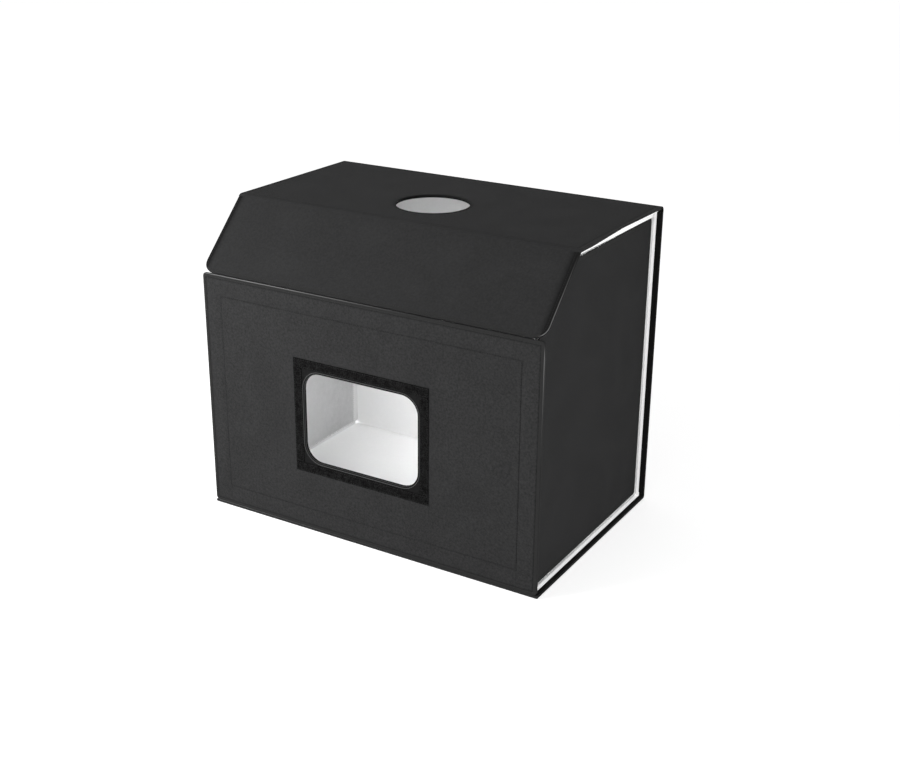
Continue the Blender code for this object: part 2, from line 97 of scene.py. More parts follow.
# each panel's outer face: u and v lie in it and n points out of the box
planes = {
    "front": planeMatrix((0, frontY, 0), (1, 0, 0), (0, 0, 1), (0, -1, 0)),
    "back": planeMatrix((0, backY, 0), (-1, 0, 0), (0, 0, 1), (0, 1, 0)),
    "base": planeMatrix((0, 0, 0), (1, 0, 0), (0, -1, 0), (0, 0, -1)),
    "top": planeMatrix((0, 0, topZ), (1, 0, 0), (0, 1, 0), (0, 0, 1)),
    "flap": planeMatrix((0, kinkY, topZ), (1, 0, 0), upSlope, offSlope),
    "left_side": planeMatrix((leftX, 0, 0), (0, -1, 0), (0, 0, 1), (-1, 0, 0)),
    "right_side": planeMatrix((rightX, 0, 0), (0, 1, 0), (0, 0, 1), (1, 0, 0)),
}


def newGroup(name, inputs, outputs):
    tree = bpy.data.node_groups.new(name, "ShaderNodeTree")
    for label, kind, start in inputs:
        socket = tree.interface.new_socket(label, in_out="INPUT", socket_type="NodeSocket" + kind)
        if start is not None:
            socket.default_value = start
    for label, kind in outputs:
        tree.interface.new_socket(label, in_out="OUTPUT", socket_type="NodeSocket" + kind)
    return tree, tree.nodes.new("NodeGroupInput").outputs, tree.nodes.new("NodeGroupOutput").inputs


def plug(tree, value, socket):
    if isinstance(value, bpy.types.NodeSocket):
        tree.links.new(value, socket)
    elif value is not None:
        socket.default_value = value


def calc(tree, operation, a, b=None, c=None):
    node = tree.nodes.new("ShaderNodeMath")
    node.operation = operation
    for value, socket in zip((a, b, c), node.inputs):
        plug(tree, value, socket)
    return node.outputs[0]


def limited(tree, value, most=1.0):
    return calc(tree, "MINIMUM", calc(tree, "MAXIMUM", value, 0.0), most)


def vectorCalc(tree, operation, a, b=None):
    node = tree.nodes.new("ShaderNodeVectorMath")
    node.operation = operation
    plug(tree, a, node.inputs[0])
    if b is not None:
        plug(tree, b, node.inputs[3] if operation == "SCALE" else node.inputs[1])
    return node.outputs[1] if operation == "LENGTH" else node.outputs[0]


def split(tree, vector):
    node = tree.nodes.new("ShaderNodeSeparateXYZ")
    tree.links.new(vector, node.inputs[0])
    return node.outputs


def noiseValue(tree, vector, scale, detail=2.0, roughness=0.5):
    node = tree.nodes.new("ShaderNodeTexNoise")
    plug(tree, vector, node.inputs["Vector"])
    plug(tree, scale, node.inputs["Scale"])
    node.inputs["Detail"].default_value = detail
    node.inputs["Roughness"].default_value = roughness
    return node.outputs["Fac"]


def blendColour(tree, factor, a, b):
    node = tree.nodes.new("ShaderNodeMix")
    node.data_type = "RGBA"
    for value, socket in ((factor, node.inputs[0]), (a, node.inputs[6]), (b, node.inputs[7])):
        plug(tree, value, socket)
    return node.outputs[2]


def grey(level):
    return (level, level, level)


def makeClothGroup():
    # threads crossing on any of the three planes, with fine mottling and slow wear
    values = {"wearScale": 9.0, "threadShade": 0.25}
    tree, given, result = newGroup(
        "wovenCloth",
        [("Vector", "Vector", None), ("Color", "Color", (0.05, 0.05, 0.05, 1)),
         ("Pitch", "Float", 0.0008), ("Thread Relief", "Float", 0.3), ("Mottle", "Float", 0.15),
         ("Grain Size", "Float", 0.004), ("Grain Relief", "Float", 0.3), ("Wear", "Float", 0.1)],
        [("Color", "Color"), ("Height", "Float")])
    wave = calc(tree, "DIVIDE", 2 * pi, given["Pitch"])
    places = split(tree, vectorCalc(tree, "SCALE", given["Vector"], wave))
    sines = [calc(tree, "SINE", places[i]) for i in range(3)]
    pairs = [calc(tree, "MULTIPLY", sines[a], sines[b]) for a, b in ((0, 1), (0, 2), (1, 2))]
    thread = calc(tree, "ADD", calc(tree, "ADD", pairs[0], pairs[1]), pairs[2])
    grainScale = calc(tree, "DIVIDE", 1.0, given["Grain Size"])
    grain = calc(tree, "SUBTRACT", noiseValue(tree, given["Vector"], grainScale, 3.0, 0.6), 0.5)
    wear = calc(tree, "SUBTRACT", noiseValue(tree, given["Vector"], values["wearScale"]), 0.5)
    threadShade = calc(tree, "MULTIPLY", given["Mottle"], values["threadShade"])
    shade = calc(tree, "MULTIPLY_ADD", grain, given["Mottle"], 1.0)
    shade = calc(tree, "MULTIPLY_ADD", wear, given["Wear"], shade)
    shade = calc(tree, "MULTIPLY_ADD", thread, threadShade, shade)
    plug(tree, vectorCalc(tree, "SCALE", given["Color"], shade), result["Color"])
    height = calc(tree, "MULTIPLY", thread, given["Thread Relief"])
    plug(tree, calc(tree, "MULTIPLY_ADD", grain, given["Grain Relief"], height), result["Height"])
    return tree


def makeSeamGroup():
    # distance from the border of a round-cornered rectangle, as an edge band and one sewn line
    tree, given, result = newGroup(
        "seamLines",
        [("Vector", "Vector", None), ("Half Size", "Vector", (0.3, 0.2, 10.0)), ("Corner", "Float", 0.01),
         ("Edge Width", "Float", 0.006), ("Line Inset", "Float", 0.03), ("Line Width", "Float", 0.0012)],
        [("Edge", "Float"), ("Line", "Float")])
    away = vectorCalc(tree, "SUBTRACT", vectorCalc(tree, "ABSOLUTE", given["Vector"]), given["Half Size"])
    x, y = [calc(tree, "ADD", split(tree, away)[i], given["Corner"]) for i in range(2)]
    past = tree.nodes.new("ShaderNodeCombineXYZ")
    plug(tree, calc(tree, "MAXIMUM", x, 0.0), past.inputs[0])
    plug(tree, calc(tree, "MAXIMUM", y, 0.0), past.inputs[1])
    inside = calc(tree, "MINIMUM", calc(tree, "MAXIMUM", x, y), 0.0)
    distance = calc(tree, "ADD", vectorCalc(tree, "LENGTH", past.outputs[0]), inside)
    distance = calc(tree, "SUBTRACT", distance, given["Corner"])
    edge = limited(tree, calc(tree, "ADD", calc(tree, "DIVIDE", distance, given["Edge Width"]), 1.0))
    plug(tree, calc(tree, "MULTIPLY", edge, edge), result["Edge"])
    line = calc(tree, "ABSOLUTE", calc(tree, "ADD", distance, given["Line Inset"]))
    line = calc(tree, "SUBTRACT", 1.0, calc(tree, "DIVIDE", line, given["Line Width"]))
    plug(tree, calc(tree, "MAXIMUM", line, 0.0), result["Line"])
    return tree


def makePileGroup():
    # hooks or loops standing close on a woven tape, matted and worn in patches
    values = {"clumpScale": 420.0, "wornScale": 130.0, "loopShade": 0.6, "darkest": 0.25}
    tree, given, result = newGroup(
        "tapePile",
        [("Vector", "Vector", None), ("Color", "Color", (0.02, 0.02, 0.02, 1)),
         ("Loop Size", "Float", 0.0009), ("Contrast", "Float", 0.8)],
        [("Color", "Color"), ("Height", "Float")])
    cells = tree.nodes.new("ShaderNodeTexVoronoi")
    plug(tree, given["Vector"], cells.inputs["Vector"])
    plug(tree, calc(tree, "DIVIDE", 1.0, given["Loop Size"]), cells.inputs["Scale"])
    loops = calc(tree, "SUBTRACT", 0.6, cells.outputs["Distance"])
    clumps = noiseValue(tree, given["Vector"], values["clumpScale"], 3.0, 0.65)
    worn = noiseValue(tree, given["Vector"], values["wornScale"], 3.0, 0.75)
    both = calc(tree, "ADD", calc(tree, "SUBTRACT", clumps, 0.5), calc(tree, "SUBTRACT", worn, 0.5))
    loopShade = calc(tree, "MULTIPLY", given["Contrast"], values["loopShade"])
    shade = calc(tree, "MULTIPLY_ADD", both, given["Contrast"], 1.0)
    shade = calc(tree, "MULTIPLY_ADD", loops, loopShade, shade)
    shade = calc(tree, "MAXIMUM", shade, values["darkest"])
    plug(tree, vectorCalc(tree, "SCALE", given["Color"], shade), result["Color"])
    plug(tree, calc(tree, "ADD", loops, clumps), result["Height"])
    return tree


clothGroup = makeClothGroup()
seamGroup = makeSeamGroup()
pileGroup = makePileGroup()


def startMaterial(name, values):
    look = bpy.data.materials.new(name)
    look.use_nodes = True
    shader = look.node_tree.nodes["Principled BSDF"]
    shader.inputs["Roughness"].default_value = values["roughness"]
    shader.inputs["Specular IOR Level"].default_value = values.get("specular", 0.5)
    shader.inputs["Metallic"].default_value = values.get("metallic", 0.0)
    place = look.node_tree.nodes.new("ShaderNodeTexCoord").outputs["Object"]
    return look, look.node_tree, shader, place


def useGroup(tree, group, values):
    node = tree.nodes.new("ShaderNodeGroup")
    node.node_tree = group
    for label, value in values.items():
        plug(tree, value, node.inputs[label])
    return node.outputs


def finishMaterial(tree, shader, colour, height, values):
    plug(tree, colour, shader.inputs["Base Color"])
    bump = tree.nodes.new("ShaderNodeBump")
    bump.inputs["Distance"].default_value = values["bump"]
    tree.links.new(height, bump.inputs["Height"])
    tree.links.new(bump.outputs["Normal"], shader.inputs["Normal"])


def startCloth(name, colour, values):
    look, tree, shader, place = startMaterial(name, values)
    cloth = useGroup(tree, clothGroup, {
        "Vector": place, "Color": (*colour, 1), "Pitch": values["pitch"],
        "Thread Relief": values["thread"], "Mottle": values["mottle"], "Grain Size": values["grain"],
        "Grain Relief": values["relief"], "Wear": values["wear"]})
    return look, tree, shader, place, cloth


def clothMaterial(name, colour, values):
    look, tree, shader, place, cloth = startCloth(name, colour, values)
    finishMaterial(tree, shader, cloth["Color"], cloth["Height"], values)
    return look


def paintedGlowClothMaterial(name, colour, values, strength):
    # white cloth with a painted glow outside the right side panel, which lifts the shade on the lining's
    # strips there
    glow = {"from": rightX + 0.001, "sharpness": 1000.0}
    look, tree, shader, place, cloth = startCloth(name, colour, values)
    # the painted glow starts just outside the right side panel
    beyond = calc(tree, "SUBTRACT", split(tree, place)[0], glow["from"])
    beyond = limited(tree, calc(tree, "MULTIPLY", beyond, glow["sharpness"]))
    plug(tree, vectorCalc(tree, "SCALE", (1.0, 1.0, 1.0), beyond), shader.inputs["Emission Color"])
    shader.inputs["Emission Strength"].default_value = strength
    finishMaterial(tree, shader, cloth["Color"], cloth["Height"], values)
    return look


def paintedLightClothMaterial(name, colour, values):
    # silvery cloth with painted light: paler towards the front of the box, nearer the inner lamp, in noisy
    # patches
    paintedLight = {"colour": (0.80, 0.80, 0.80, 1), "from": 0.13, "reach": 0.16, "scale": 14.0, "patches": 0.5}
    look, tree, shader, place, cloth = startCloth(name, colour, values)
    # painted light: the colour pales towards the front
    forward = calc(tree, "SUBTRACT", paintedLight["from"], split(tree, place)[1])
    forward = calc(tree, "DIVIDE", forward, paintedLight["reach"])
    patches = noiseValue(tree, place, paintedLight["scale"])
    patches = calc(tree, "MULTIPLY_ADD", patches, paintedLight["patches"], -paintedLight["patches"] / 2)
    amount = limited(tree, calc(tree, "ADD", forward, patches))
    shown = blendColour(tree, amount, cloth["Color"], paintedLight["colour"])
    finishMaterial(tree, shader, shown, cloth["Height"], values)
    return look


def bindingMaterial(name, colour, values, blackFrom=None):
    # woven tape, paler in patches where it turns over the panel's edge, as edge wear and a painted highlight,
    # and black beyond a place
    patchy = {"scale": 11.0, "gain": 1.2, "least": 0.1, "sharpness": 400.0, "darkest": 0.75}
    look, tree, shader, place, cloth = startCloth(name, colour, values)
    nose = tree.nodes.new("ShaderNodeAttribute")
    nose.attribute_name = "wear"
    patches = noiseValue(tree, place, patchy["scale"], 3.0, 0.6)
    patches = calc(tree, "MULTIPLY_ADD", patches, patchy["gain"], patchy["least"])
    # the noses' paler colour: edge wear and a painted highlight
    amount = calc(tree, "MULTIPLY", nose.outputs["Fac"], patches)
    shown = cloth["Color"]
    if blackFrom:
        beyond = calc(tree, "SUBTRACT", calc(tree, "ABSOLUTE", split(tree, place)[0]), blackFrom)
        dark = limited(tree, calc(tree, "MULTIPLY", beyond, patchy["sharpness"]), patchy["darkest"])
        shown = vectorCalc(tree, "SCALE", shown, calc(tree, "SUBTRACT", 1.0, dark))
    shown = blendColour(tree, amount, shown, (*colours["worn"], 1))
    finishMaterial(tree, shader, shown, cloth["Height"], values)
    return look


def tapeMaterial(name, level, values):
    look, tree, shader, place = startMaterial(name, values)
    pile = useGroup(tree, pileGroup, {"Vector": place, "Color": (*grey(level), 1),
                                      "Loop Size": values["loop"], "Contrast": values["contrast"]})
    finishMaterial(tree, shader, pile["Color"], pile["Height"], values)
    return look


def grainMaterial(name, values):
    # moulded, plated or drawn surfaces: fine noise in colour, roughness and height
    look, tree, shader, place = startMaterial(name, values)
    stretched = vectorCalc(tree, "MULTIPLY", place, values.get("stretch", (1, 1, 1)))
    grain = calc(tree, "SUBTRACT", noiseValue(tree, stretched, values["scale"], 3.0, 0.6), 0.5)
    shade = calc(tree, "MULTIPLY_ADD", grain, values["mottle"], 1.0)
    rough = calc(tree, "MULTIPLY_ADD", grain, values.get("roughRange", 0.1), values["roughness"])
    plug(tree, rough, shader.inputs["Roughness"])
    finishMaterial(tree, shader, vectorCalc(tree, "SCALE", values["colour"], shade), grain, values)
    return look


def glowMaterial(name, values):
    look, tree, shader, place = startMaterial(name, values)
    shade = calc(tree, "MULTIPLY_ADD", noiseValue(tree, place, values["scale"]), values["mottle"],
                 1.0 - values["mottle"])
    plug(tree, vectorCalc(tree, "SCALE", values["colour"], shade), shader.inputs["Base Color"])
    shader.inputs["Emission Color"].default_value = (1, 1, 1, 1)
    shader.inputs["Emission Strength"].default_value = values["strength"]
    return look


clothValues = {
    "cover": {"roughness": 0.9, "specular": 0.1, "pitch": 0.0009, "thread": 0.5, "mottle": 0.5,
              "grain": 0.0035, "relief": 1.2, "wear": 0.12, "bump": 0.00012},
    "binding": {"roughness": 0.8, "specular": 0.1, "pitch": 0.0011, "thread": 0.7, "mottle": 0.3,
                "grain": 0.003, "relief": 0.5, "wear": 0.1, "bump": 0.00012},
    "white": {"roughness": 0.6, "specular": 0.25, "pitch": 0.0008, "thread": 0.2, "mottle": 0.05,
              "grain": 0.006, "relief": 0.4, "wear": 0.05, "bump": 0.0001},
    "silver": {"roughness": 0.5, "specular": 0.3, "pitch": 0.0016, "thread": 0.4, "mottle": 0.3,
               "grain": 0.008, "relief": 1.4, "wear": 0.2, "bump": 0.00035},
    "thread": {"roughness": 0.6, "specular": 0.3, "pitch": 0.0005, "thread": 0.5, "mottle": 0.3,
               "grain": 0.001, "relief": 0.5, "wear": 0.1, "bump": 0.00005},
}
clothValues["fold"] = {**clothValues["cover"], "specular": 0.0}
colours = {
    "cover": (0.0250, 0.0250, 0.0254),
    "fold": grey(0.010),
    "binding": grey(0.0215),
    "blackBinding": grey(0.006),
    # paler tape on the bindings' noses: edge wear and a painted highlight
    "worn": grey(0.23),
    "white": grey(0.84),
    "silver": (0.55, 0.55, 0.555),
    "blackThread": grey(0.005),
    "piping": grey(0.07),
    "whiteThread": (0.75, 0.75, 0.74),
}
coverCloth = clothMaterial("coverCloth", colours["cover"], clothValues["cover"])
darkFoldCloth = clothMaterial("darkFoldCloth", colours["fold"], clothValues["fold"])
bindingCloth = bindingMaterial("bindingCloth", colours["binding"], clothValues["binding"])
blackBinding = bindingMaterial("blackBinding", colours["blackBinding"], clothValues["binding"])
flapBindingCloth = bindingMaterial("flapBindingCloth", colours["binding"], clothValues["binding"],
                                   blackFrom=0.3022)
# white linings with a painted glow outside the right side panel; the base lining's copy glows more
whiteCloth = paintedGlowClothMaterial("whiteCloth", colours["white"], clothValues["white"], 0.32)
baseWhiteCloth = paintedGlowClothMaterial("baseWhiteCloth", colours["white"], clothValues["white"], 0.46)
# the side linings carry painted light, paler towards the front
silverCloth = paintedLightClothMaterial("silverCloth", colours["silver"], clothValues["silver"])
blackThread = clothMaterial("blackThread", colours["blackThread"], clothValues["thread"])
whiteThread = clothMaterial("whiteThread", colours["whiteThread"], clothValues["thread"])
pipingCloth = clothMaterial("pipingCloth", colours["piping"], clothValues["thread"])
loopTape = tapeMaterial("loopTape", 0.0058, {
    "roughness": 0.95, "specular": 0.03, "loop": 0.0014, "contrast": 5.0, "bump": 0.0007})
hookTape = tapeMaterial("hookTape", 0.011, {
    "roughness": 0.6, "specular": 0.35, "loop": 0.0016, "contrast": 0.5, "bump": 0.0006})
whiteLoopTape = tapeMaterial("whiteLoopTape", 0.72, {
    "roughness": 0.95, "specular": 0.15, "loop": 0.0011, "contrast": 0.12, "bump": 0.0004})


def dress(look, names):
    for name in names:
        cadNodes[name].data.materials.clear()
        cadNodes[name].data.materials.append(look)


grainValues = {
    "boardFibre": {"colour": (0.32, 0.26, 0.19), "roughness": 0.9, "specular": 0.2, "scale": 900.0,
                   "mottle": 0.35, "bump": 0.0002, "nodes": [panel + "_board" for panel in panels]},
    "drawnAluminium": {"colour": (0.72, 0.72, 0.73), "roughness": 0.36, "metallic": 1.0, "scale": 600.0,
                       "stretch": (0.04, 1, 1), "mottle": 0.12, "roughRange": 0.15, "bump": 0.00003,
                       "nodes": ["light_housing"]},
    "solderMask": {"colour": (0.78, 0.78, 0.75), "roughness": 0.45, "scale": 900.0, "mottle": 0.06,
                   "bump": 0.00003, "nodes": ["light_board"]},
    "mouldedPlastic": {"colour": grey(0.022), "roughness": 0.5, "scale": 1600.0, "mottle": 0.25,
                       "bump": 0.00006,
                       "nodes": ["light_end_cap_left", "light_end_cap_right", "light_inlet"]},
    "platedSteel": {"colour": grey(0.6), "roughness": 0.3, "metallic": 1.0, "scale": 1200.0, "mottle": 0.1,
                    "bump": 0.00002, "nodes": ["light_screw_left", "light_screw_right"]},
}
for name, values in grainValues.items():
    dress(grainMaterial(name, values), values["nodes"])
dress(glowMaterial("opalDiffuser", {"colour": grey(0.9), "roughness": 0.4, "specular": 0.4, "scale": 300.0,
                                    "mottle": 0.04, "strength": 3.0}), ["light_diffuser"])


def centred(tree, place, centre, turn):
    mapping = tree.nodes.new("ShaderNodeMapping")
    mapping.vector_type = "TEXTURE"
    mapping.inputs["Location"].default_value = centre
    mapping.inputs["Rotation"].default_value = (turn, 0, 0)
    tree.links.new(place, mapping.inputs["Vector"])
    return mapping.outputs["Vector"]


farOff = 10.0
noLine = {"inset": -1.0, "width": 0.001, "dark": 0.0, "breakScale": 24.0}
frontLine = {"inset": frontSeam, "width": 0.0016, "dark": 0.55, "breakScale": 24.0}


def coverMaterial(name, values):
    # a cover's cloth with painted shade where it dips to the binding's seam and along its sewn line
    woven = {**clothValues["cover"], "mottle": values["mottle"]}
    look, tree, shader, place, cloth = startCloth(name, colours["cover"], woven)
    line = values["line"]
    seam = useGroup(tree, seamGroup, {
        "Vector": centred(tree, place, values["centre"], values["turn"]), "Half Size": values["half"],
        "Corner": values["corner"], "Edge Width": values["edgeWidth"],
        "Line Inset": line["inset"], "Line Width": line["width"]})
    broken = noiseValue(tree, place, line["breakScale"], 2.0, 0.6)
    # painted shade along the sewn line, broken by noise, and at the cover's border
    sewn = calc(tree, "MULTIPLY", seam["Line"], calc(tree, "MULTIPLY", broken, line["dark"]))
    dark = calc(tree, "MAXIMUM", calc(tree, "MULTIPLY", seam["Edge"], values["edgeDark"]), sewn)
    if "window" in values:
        # the cloth between the window's binding and the tapes is black
        window = values["window"]
        border = useGroup(tree, seamGroup, {
            "Vector": centred(tree, place, window["centre"], values["turn"]), "Half Size": window["half"],
            "Corner": window["edge"], "Edge Width": window["edge"],
            "Line Inset": noLine["inset"], "Line Width": noLine["width"]})
        within = calc(tree, "SUBTRACT", 1.0, border["Edge"])
        dark = calc(tree, "MAXIMUM", dark, calc(tree, "MULTIPLY", within, window["dark"]))
    shown = vectorCalc(tree, "SCALE", cloth["Color"], calc(tree, "SUBTRACT", 1.0, dark))
    height = calc(tree, "MULTIPLY_ADD", dark, values["dip"], cloth["Height"])
    finishMaterial(tree, shader, shown, height, woven)
    return look


def coverValues(panel, turn, mottle, **changes):
    low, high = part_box(panel + "_cover")
    across = planes[panel].inverted().to_3x3() @ (high - low)
    return {"centre": tuple((low + high) / 2), "half": (abs(across.x) / 2, abs(across.y) / 2, farOff),
            "turn": turn, "mottle": mottle, "corner": 0.004, "edgeWidth": 0.004, "edgeDark": 0.45,
            "dip": -2.0, "line": noLine, **changes}


def windowValues():
    # the rectangle that the four tapes round the window enclose, tapes included
    low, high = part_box("window_tape_left")[0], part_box("window_tape_right")[1]
    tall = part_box("window_tape_top")[1].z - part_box("window_tape_bottom")[0].z
    return {"centre": tuple((low + high) / 2), "half": ((high.x - low.x) / 2, tall / 2, farOff),
            "edge": 0.0005, "dark": 0.72}


coverLooks = {
    "front": coverValues("front", radians(90), 1.3, line=frontLine, window=windowValues()),
    "back": coverValues("back", radians(90), 0.9),
    "top": coverValues("top", 0, 0.7),
    "base": coverValues("base", 0, 0.7),
    "flap": coverValues("flap", flapTurn, 0.7, edgeWidth=0.012, edgeDark=0.7),
}
# the flap's painted edge shade falls only towards its left and right edges
coverLooks["flap"]["half"] = (coverLooks["flap"]["half"][0], farOff, farOff)
coverCloths = {panel: coverMaterial(panel + "Cover", values) for panel, values in coverLooks.items()}
coverCloths.update({"left_side": coverCloth, "right_side": coverCloth})
print("materials made")


def camelName(node):
    first, *others = node.split("_")
    return first + "".join(word.capitalize() for word in others)


def meshFrom(bm, name):
    mesh = bpy.data.meshes.new(name)
    bm.to_mesh(mesh)
    bm.free()
    return mesh


def newObject(name, data):
    item = bpy.data.objects.new(name, data)
    bpy.context.scene.collection.objects.link(item)
    return item


def addPiece(name, mesh, *looks):
    mesh.name = name
    for look in looks:
        mesh.materials.append(look)
    mesh.shade_smooth()
    mesh.set_sharp_from_angle(angle=radians(50))
    return newObject(name, mesh)


def standIn(bm, node, body, slotName, *looks):
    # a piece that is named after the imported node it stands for
    name = camelName(node)
    piece = addPiece(name, meshFrom(bm, name), *looks)
    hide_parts(node)
    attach(piece, body)
    return piece


def mergedCopy(node):
    bm = bmesh.new()
    bm.from_mesh(cadNodes[node].data)
    bmesh.ops.remove_doubles(bm, verts=bm.verts, dist=weldGap)
    bmesh.ops.dissolve_limit(bm, angle_limit=radians(0.5), verts=bm.verts, edges=bm.edges)
    return bm


def intoPlane(bm, panel):
    bmesh.ops.transform(bm, matrix=planes[panel].inverted(), verts=bm.verts)


def outOfPlane(bm, panel):
    bmesh.ops.transform(bm, matrix=planes[panel], verts=bm.verts)


def only(geom, kind):
    return [part for part in geom if isinstance(part, kind)]


def cutPlane(bm, point, across):
    bmesh.ops.bisect_plane(bm, geom=bm.verts[:] + bm.edges[:] + bm.faces[:], dist=weldGap,
                           plane_co=point, plane_no=across)


def cutAcross(bm, axis, place):
    point, across = Vector((0, 0, 0)), Vector((0, 0, 0))
    point[axis], across[axis] = place, 1
    cutPlane(bm, point, across)


def reach(points, axis):
    places = [point[axis] for point in points]
    return min(places), max(places)


def cutGrid(bm, cell):
    # crosses a flat mesh with upright and level cuts
    for axis in range(2):
        first, last = reach([vert.co for vert in bm.verts], axis)
        count = max(round((last - first) / cell), 1)
        for i in range(1, count):
            cutAcross(bm, axis, first + (last - first) * i / count)


def roundEdges(bm, edges, radius, steps):
    return bmesh.ops.bevel(bm, geom=edges, offset=radius, offset_type="OFFSET", segments=steps,
                           profile=0.5, affect="EDGES", material=-1, clamp_overlap=True)


bindingValues = {"noseRadius": 0.0013, "noseSteps": 4, "legRadius": 0.00028, "legSteps": 2,
                 "cut": 0.025, "edgeOn": 0.3}


def bindingEdges(bm, node, panel, openEnds, hole):
    # sorts the long edges of a U section into its folded noses and the ends of its legs
    values = bindingValues
    turn = planes[panel].to_3x3()
    low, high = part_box(node)
    noses, legEnds = [], []
    for edge in bm.edges:
        if len(edge.link_faces) != 2 or not edge.is_convex:
            continue
        facing = [abs(face.normal.dot(turn @ Vector((0, 0, 1)))) for face in edge.link_faces]
        flat = max(range(2), key=lambda i: facing[i])
        web = edge.link_faces[1 - flat]
        if facing[flat] < faceOn or facing[1 - flat] > values["edgeOn"]:
            continue
        if openEnds and abs(web.normal.dot(turn @ Vector((0, 1, 0)))) > faceOn:
            continue
        away = web.normal.dot(web.calc_center_median() - (low + high) / 2)
        (noses if (away > 0) != hole else legEnds).append(edge)
    return noses, legEnds


def carryWhite(bm, panel, bounds):
    # the lining's white cloth goes on round the leg inside the box, up to the bounds
    borders = []
    for v, height, slope in bounds:
        point = planes[panel] @ Vector((0, v, height))
        across = planes[panel].to_3x3() @ Vector((0, -slope, 1))
        borders.append((point, across))
        cutPlane(bm, point, across.normalized())
    for face in bm.faces:
        middle = face.calc_center_median()
        if all((middle - point).dot(across) < 0 for point, across in borders):
            face.material_index = 1


def roundBinding(node, panel, look, openEnds=False, hole=False, white=None, worn=None):
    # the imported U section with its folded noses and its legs' ends rounded
    values = bindingValues
    bm = mergedCopy(node)
    noses, legEnds = bindingEdges(bm, node, panel, openEnds, hole)
    # marks the noses for paler tape: edge wear and a painted highlight
    wear = bm.verts.layers.float.new("wear")
    turned = roundEdges(bm, noses, values["noseRadius"], values["noseSteps"])
    turnedFaces = set(turned["faces"])
    for vert in turned["verts"]:
        if all(face in turnedFaces for face in vert.link_faces):
            vert[wear] = 1.0
    roundEdges(bm, [edge for edge in legEnds if edge.is_valid], values["legRadius"], values["legSteps"])
    intoPlane(bm, panel)
    cutGrid(bm, values["cut"])
    outOfPlane(bm, panel)
    # each binding's share of the painted highlight and wear
    for vert in bm.verts:
        vert[wear] *= worn(vert.co) if worn else 0.0
    if white:
        carryWhite(bm, panel, white)
    standIn(bm, node, panel, "black_binding", look, *([whiteCloth] if white else []))


def share(value):
    return min(max(value, 0.0), 1.0)


def frontWearAndHighlight(place):
    # paler at the left and along the left of the top edge, and at the right edge's upper end: edge wear and a
    # painted highlight
    values = {"leftOf": 0.10, "fade": 0.3, "rightOf": 0.3, "above": 0.2, "below": 0.404, "rise": 0.21,
              "most": 0.8}
    worn = share((values["leftOf"] - place.x) / values["fade"])
    if place.x > values["rightOf"] and place.z < values["below"]:
        worn = max(worn, share((place.z - values["above"]) / values["rise"]) ** 2 * values["most"])
    return worn


def flapWearAndHighlight(place):
    # paler at its two ends: edge wear and a painted highlight
    values = {"end": 0.305, "most": 0.9, "least": 0.1}
    return values["most"] if abs(place.x) > values["end"] else values["least"]


# each bound is a place along v, the height n of the white's border there, and the border's slope
topWhite = ((0.047, -0.0014, 0.0326), (0.047, -0.0014, -0.0200), (-0.092, -0.0060, 8.0),
            (0.180, -0.0042, -1.0))
sideWhite = ((0, -0.0017, 0),)
roundBinding("front_binding", "front", bindingCloth, worn=frontWearAndHighlight)
roundBinding("flap_binding", "flap", flapBindingCloth, openEnds=True, worn=flapWearAndHighlight)
for panel in ("base", "back", "top"):
    look, white = (bindingCloth, topWhite) if panel == "top" else (blackBinding, None)
    for side in sides:
        roundBinding(panel + "_" + side + "_binding", panel, look, openEnds=True, white=white)
for panel in ("left_side", "right_side"):
    roundBinding(panel + "_binding", panel, bindingCloth, white=sideWhite)
# the window's noses get an even share of the wear and painted highlight
roundBinding("window_binding", "front", blackBinding, hole=True, worn=lambda place: 0.35)
roundBinding("port_binding", "top", blackBinding, hole=True)
print("bindings rounded")


def slab(node, panel):
    # a node's lowest and highest corner along its panel's own u, v and n
    back = planes[panel].inverted()
    points = [back @ vert.co for vert in cadNodes[node].data.vertices]
    return [Vector([pick(point[i] for point in points) for i in range(3)]) for pick in (min, max)]


def flatCopy(node, panel):
    bm = mergedCopy(node)
    intoPlane(bm, panel)
    bm.normal_update()
    return bm


def turnedLeft(loop):
    area = sum(a.x * b.y - b.x * a.y for a, b in zip(loop, loop[1:] + loop[:1]))
    return loop if area > 0 else loop[::-1]


def flatLoops(node, panel, inner=False):
    # the outlines of a node's face on one side of its panel, widest first, in the panel's plane;
    # each turns left from its leftmost point, so that every run sews it the same way
    bm = flatCopy(node, panel)
    sign = -1 if inner else 1
    face = {f for f in bm.faces if f.normal.z * sign > faceOn}
    best = max(f.calc_center_median().z * sign for f in face)
    face = {f for f in face if f.calc_center_median().z * sign > best - 0.0001}
    border = {e for e in bm.edges if sum(f in face for f in e.link_faces) == 1}
    loops = []
    while border:
        edge = border.pop()
        first, here = edge.verts[0], edge.verts[1]
        loop = [first.co.xy.copy(), here.co.xy.copy()]
        while here is not first:
            step = next(e for e in here.link_edges if e in border)
            border.discard(step)
            here = step.other_vert(here)
            if here is not first:
                loop.append(here.co.xy.copy())
        loop = turnedLeft(loop)
        start = min(range(len(loop)), key=lambda i: (round(loop[i].x, 4), round(loop[i].y, 4)))
        loops.append(loop[start:] + loop[:start])
    bm.free()
    return sorted(loops, key=lambda loop: reach(loop, 0)[0] - reach(loop, 0)[1])


def grown(loop, distance):
    # moves a loop that turns left out by a distance, by the mean normal at each point
    moved = []
    for before, here, after in zip(loop[-1:] + loop[:-1], loop, loop[1:] + loop[:1]):
        one, two = (here - before).normalized(), (after - here).normalized()
        out = Vector((one.y + two.y, -one.x - two.x))
        moved.append(here + out * (distance / max(out.length_squared / 2, 0.5)))
    return moved


